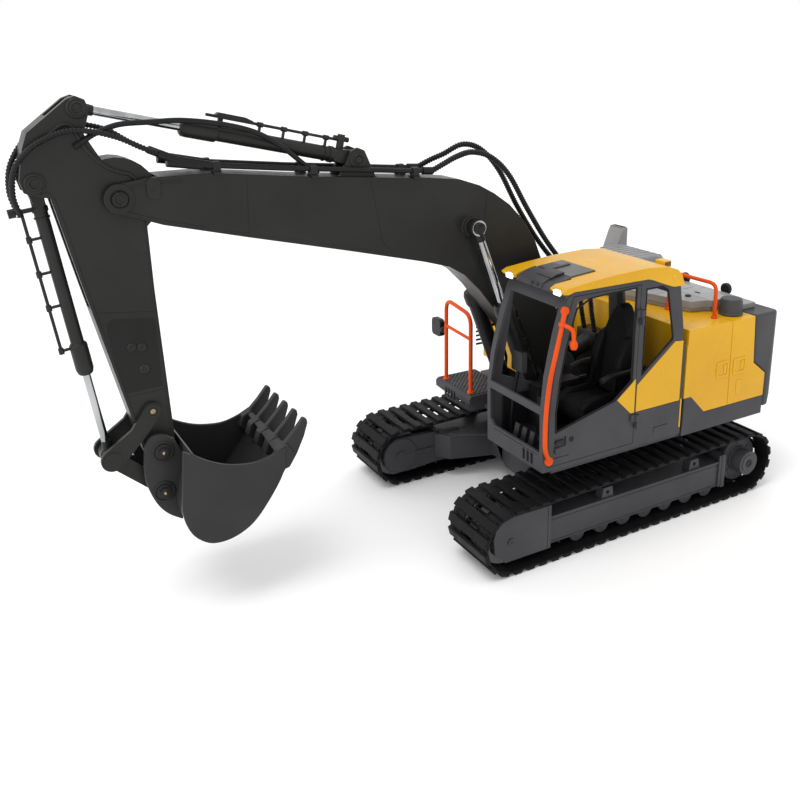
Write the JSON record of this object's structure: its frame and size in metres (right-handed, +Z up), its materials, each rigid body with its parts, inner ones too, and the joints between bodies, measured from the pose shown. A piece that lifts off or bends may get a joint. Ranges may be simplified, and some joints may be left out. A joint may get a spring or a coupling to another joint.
{
  "type": "toy crawler excavator",
  "caption": "Radio-controlled crawler excavator toy with slewing cab and engine body, hinged boom and arm with hydraulic-look cylinders, and a curling toothed bucket.",
  "frame": {"origin": "middle of the whole length and width at the ground under the tracks", "axes": "+X to the front, where the boom reaches; +Y to the machine's left, where the cab is; +Z up"},
  "size_m": [0.4126, 0.16, 0.2468],
  "materials": {
    "track_rubber": "matt black rubber, slightly dusty",
    "frame_grey": "fine-grained moulded dark grey",
    "dark_plastic": "semi-matt charcoal",
    "light_grey_plastic": "fine-grained mid grey",
    "yellow_plastic": "satin to glossy yellow",
    "orange_rail": "satin orange rod",
    "black_plastic": "matt black",
    "hose_rubber": "matt black hose",
    "boom_metal": "semi-gloss charcoal, painted look",
    "chrome_rod": "polished",
    "pin_steel": "turned steel",
    "gear_plastic": "off-white nylon",
    "motor_can": "plated steel can",
    "battery_wrap": "blue shrink wrap",
    "board_green": "solder mask",
    "lamp_lens": "clear lens with white reflector"
  },
  "bodies": {
    "undercarriage": {"centre_frame": "frame_grey", "track_frame_left": "frame_grey", "track_frame_right": "frame_grey", "track_belt_left": "track_rubber", "track_belt_right": "track_rubber", "slew_ring": "gear_plastic", "drive_gearbox_left": "dark_plastic", "drive_gearbox_right": "dark_plastic"},
    "sprocket_left": {"sprocket_left": "frame_grey"},
    "sprocket_right": {"sprocket_right": "frame_grey"},
    "idler_left": {"idler_left": "dark_plastic"},
    "idler_right": {"idler_right": "dark_plastic"},
    "upper": {"deck": "frame_grey", "boom_foot_pin": "pin_steel", "cab_shell": "frame_grey", "cab_corner_panel": "yellow_plastic", "cab_roof": "yellow_plastic", "roof_hatch": "light_grey_plastic", "work_lamp_left": "lamp_lens", "work_lamp_right": "lamp_lens", "seat": "black_plastic", "console": "dark_plastic", "engine_cover": "yellow_plastic", "counterweight": "frame_grey", "hood_panel": "light_grey_plastic", "air_box": "light_grey_plastic", "exhaust_stack": "light_grey_plastic", "fuel_cap": "dark_plastic", "cab_rail": "orange_rail", "hood_rail": "orange_rail", "step_rail": "orange_rail", "mirror": "black_plastic", "step_box": "frame_grey", "battery": "battery_wrap", "circuit_board": "board_green", "slew_motor": "motor_can", "boom_motor": "motor_can"},
    "slew_pinion": {"slew_pinion": "gear_plastic"},
    "cab_door": {"cab_door": "frame_grey"},
    "power_switch": {"power_switch": "black_plastic"},
    "boom": {"boom": "boom_metal", "arm_pivot_pin": "pin_steel", "boom_pipe_left": "hose_rubber", "boom_pipe_right": "hose_rubber", "foot_hose_left": "hose_rubber", "foot_hose_right": "hose_rubber"},
    "boom_barrel_left": {"boom_cylinder_left_barrel": "boom_metal"},
    "boom_rod_left": {"boom_cylinder_left_rod": "chrome_rod"},
    "boom_barrel_right": {"boom_cylinder_right_barrel": "boom_metal"},
    "boom_rod_right": {"boom_cylinder_right_rod": "chrome_rod"},
    "arm_barrel": {"arm_cylinder_barrel": "boom_metal"},
    "arm_rod": {"arm_cylinder_rod": "chrome_rod"},
    "arm": {"arm": "boom_metal", "arm_hose_left": "hose_rubber", "arm_hose_right": "hose_rubber"},
    "bucket_barrel": {"bucket_cylinder_barrel": "boom_metal"},
    "bucket_rod": {"bucket_cylinder_rod": "chrome_rod"},
    "idler_lever": {"idler_lever": "boom_metal"},
    "bucket": {"bucket": "boom_metal"},
    "bucket_link": {"bucket_link": "boom_metal"}
  },
  "joints": [
    {"name": "slew", "type": "hinge", "parent": "undercarriage", "child": "upper", "pos_m": [-0.0913, 0, 0.049], "axis": [0, 0, 1], "continuous": true},
    {"name": "slew_pinion_spin", "type": "hinge", "parent": "upper", "child": "slew_pinion", "pos_m": [-0.1273, 0, 0.046], "axis": [0, 0, 1], "continuous": true},
    {"name": "sprocket_left_spin", "type": "hinge", "parent": "undercarriage", "child": "sprocket_left", "pos_m": [-0.1793, 0.0612, 0.02], "axis": [0, 1, 0], "continuous": true},
    {"name": "idler_left_spin", "type": "hinge", "parent": "undercarriage", "child": "idler_left", "pos_m": [-0.0038, 0.0612, 0.0185], "axis": [0, 1, 0], "continuous": true},
    {"name": "sprocket_right_spin", "type": "hinge", "parent": "undercarriage", "child": "sprocket_right", "pos_m": [-0.1793, -0.0612, 0.02], "axis": [0, 1, 0], "continuous": true},
    {"name": "idler_right_spin", "type": "hinge", "parent": "undercarriage", "child": "idler_right", "pos_m": [-0.0038, -0.0612, 0.0185], "axis": [0, 1, 0], "continuous": true},
    {"name": "cab_door_hinge", "type": "hinge", "parent": "upper", "child": "cab_door", "pos_m": [-0.0861, 0.0775, 0.099], "axis": [0, 0, 1], "range_deg": [0, 100]},
    {"name": "power_switch_slide", "type": "slide", "parent": "upper", "child": "power_switch", "axis": [0, 1, 0], "range_m": [0, 0.003]},
    {"name": "boom_lift", "type": "hinge", "parent": "upper", "child": "boom", "pos_m": [-0.0833, 0, 0.08], "axis": [0, -1, 0], "range_deg": [-28, 12], "deforming": ["foot_hose_left", "foot_hose_right"]},
    {"name": "boom_barrel_left_swing", "type": "hinge", "parent": "upper", "child": "boom_barrel_left", "pos_m": [-0.0633, 0.016, 0.062], "axis": [0, -1, 0], "range_deg": [-27.53, 12.37]},
    {"name": "boom_rod_left_stroke", "type": "slide", "parent": "boom_barrel_left", "child": "boom_rod_left", "axis": [0.3612, 0, 0.9325], "range_m": [-0.01281, 0.0056]},
    {"name": "boom_barrel_right_swing", "type": "hinge", "parent": "upper", "child": "boom_barrel_right", "pos_m": [-0.0633, -0.016, 0.062], "axis": [0, -1, 0], "range_deg": [-27.53, 12.37]},
    {"name": "boom_rod_right_stroke", "type": "slide", "parent": "boom_barrel_right", "child": "boom_rod_right", "axis": [0.3612, 0, 0.9325], "range_m": [-0.01281, 0.0056]},
    {"name": "arm_swing", "type": "hinge", "parent": "boom", "child": "arm", "pos_m": [0.1593, 0, 0.2031], "axis": [0, -1, 0], "range_deg": [-20, 36], "deforming": ["arm_hose_left", "arm_hose_right"]},
    {"name": "arm_barrel_swing", "type": "hinge", "parent": "boom", "child": "arm_barrel", "pos_m": [0.0437, 0, 0.2123], "axis": [0, -1, 0], "range_deg": [-3.58, 5.65]},
    {"name": "arm_rod_stroke", "type": "slide", "parent": "arm_barrel", "child": "arm_rod", "axis": [0.9745, 0, 0.2242], "range_m": [-0.02315, 0.01295]},
    {"name": "bucket_curl", "type": "hinge", "parent": "arm", "child": "bucket", "pos_m": [0.1527, 0, 0.0832], "axis": [0, -1, 0], "range_deg": [-6, 80]},
    {"name": "bucket_barrel_swing", "type": "hinge", "parent": "arm", "child": "bucket_barrel", "pos_m": [0.1917, 0, 0.212], "axis": [0, -1, 0], "range_deg": [-1.33, 5.34]},
    {"name": "bucket_rod_stroke", "type": "slide", "parent": "bucket_barrel", "child": "bucket_rod", "axis": [-0.1301, 0, -0.9915], "range_m": [-0.02425, 0.002]},
    {"name": "idler_lever_swing", "type": "hinge", "parent": "arm", "child": "idler_lever", "pos_m": [0.1547, 0, 0.103], "axis": [0, -1, 0], "range_deg": [-4.67, 49.9]},
    {"name": "bucket_link_swing", "type": "hinge", "parent": "bucket", "child": "bucket_link", "pos_m": [0.1539, 0, 0.0627], "axis": [0, -1, 0], "range_deg": [-56.14, 5.14]}
  ],
  "couplings": [
    {"joint": "slew_pinion_spin", "follows": "slew", "ratio": 5},
    {"joint": "idler_left_spin", "follows": "sprocket_left_spin", "ratio": 1.0932},
    {"joint": "idler_right_spin", "follows": "sprocket_right_spin", "ratio": 1.0932},
    {"joint": "boom_barrel_left_swing", "follows": "boom_lift", "ratio": 0.94739},
    {"joint": "boom_rod_left_stroke", "follows": "boom_lift", "m_per_rad": 0.0258},
    {"joint": "boom_barrel_right_swing", "follows": "boom_lift", "ratio": 0.94739},
    {"joint": "boom_rod_right_stroke", "follows": "boom_lift", "m_per_rad": 0.0258},
    {"joint": "arm_barrel_swing", "follows": "arm_swing", "ratio": 0.12923},
    {"joint": "arm_rod_stroke", "follows": "arm_swing", "m_per_rad": -0.036526},
    {"joint": "bucket_barrel_swing", "follows": "bucket_curl", "ratio": 0.05428},
    {"joint": "bucket_rod_stroke", "follows": "bucket_curl", "m_per_rad": -0.017221},
    {"joint": "idler_lever_swing", "follows": "bucket_curl", "ratio": 0.61121},
    {"joint": "bucket_link_swing", "follows": "bucket_curl", "ratio": -0.68926}
  ]
}
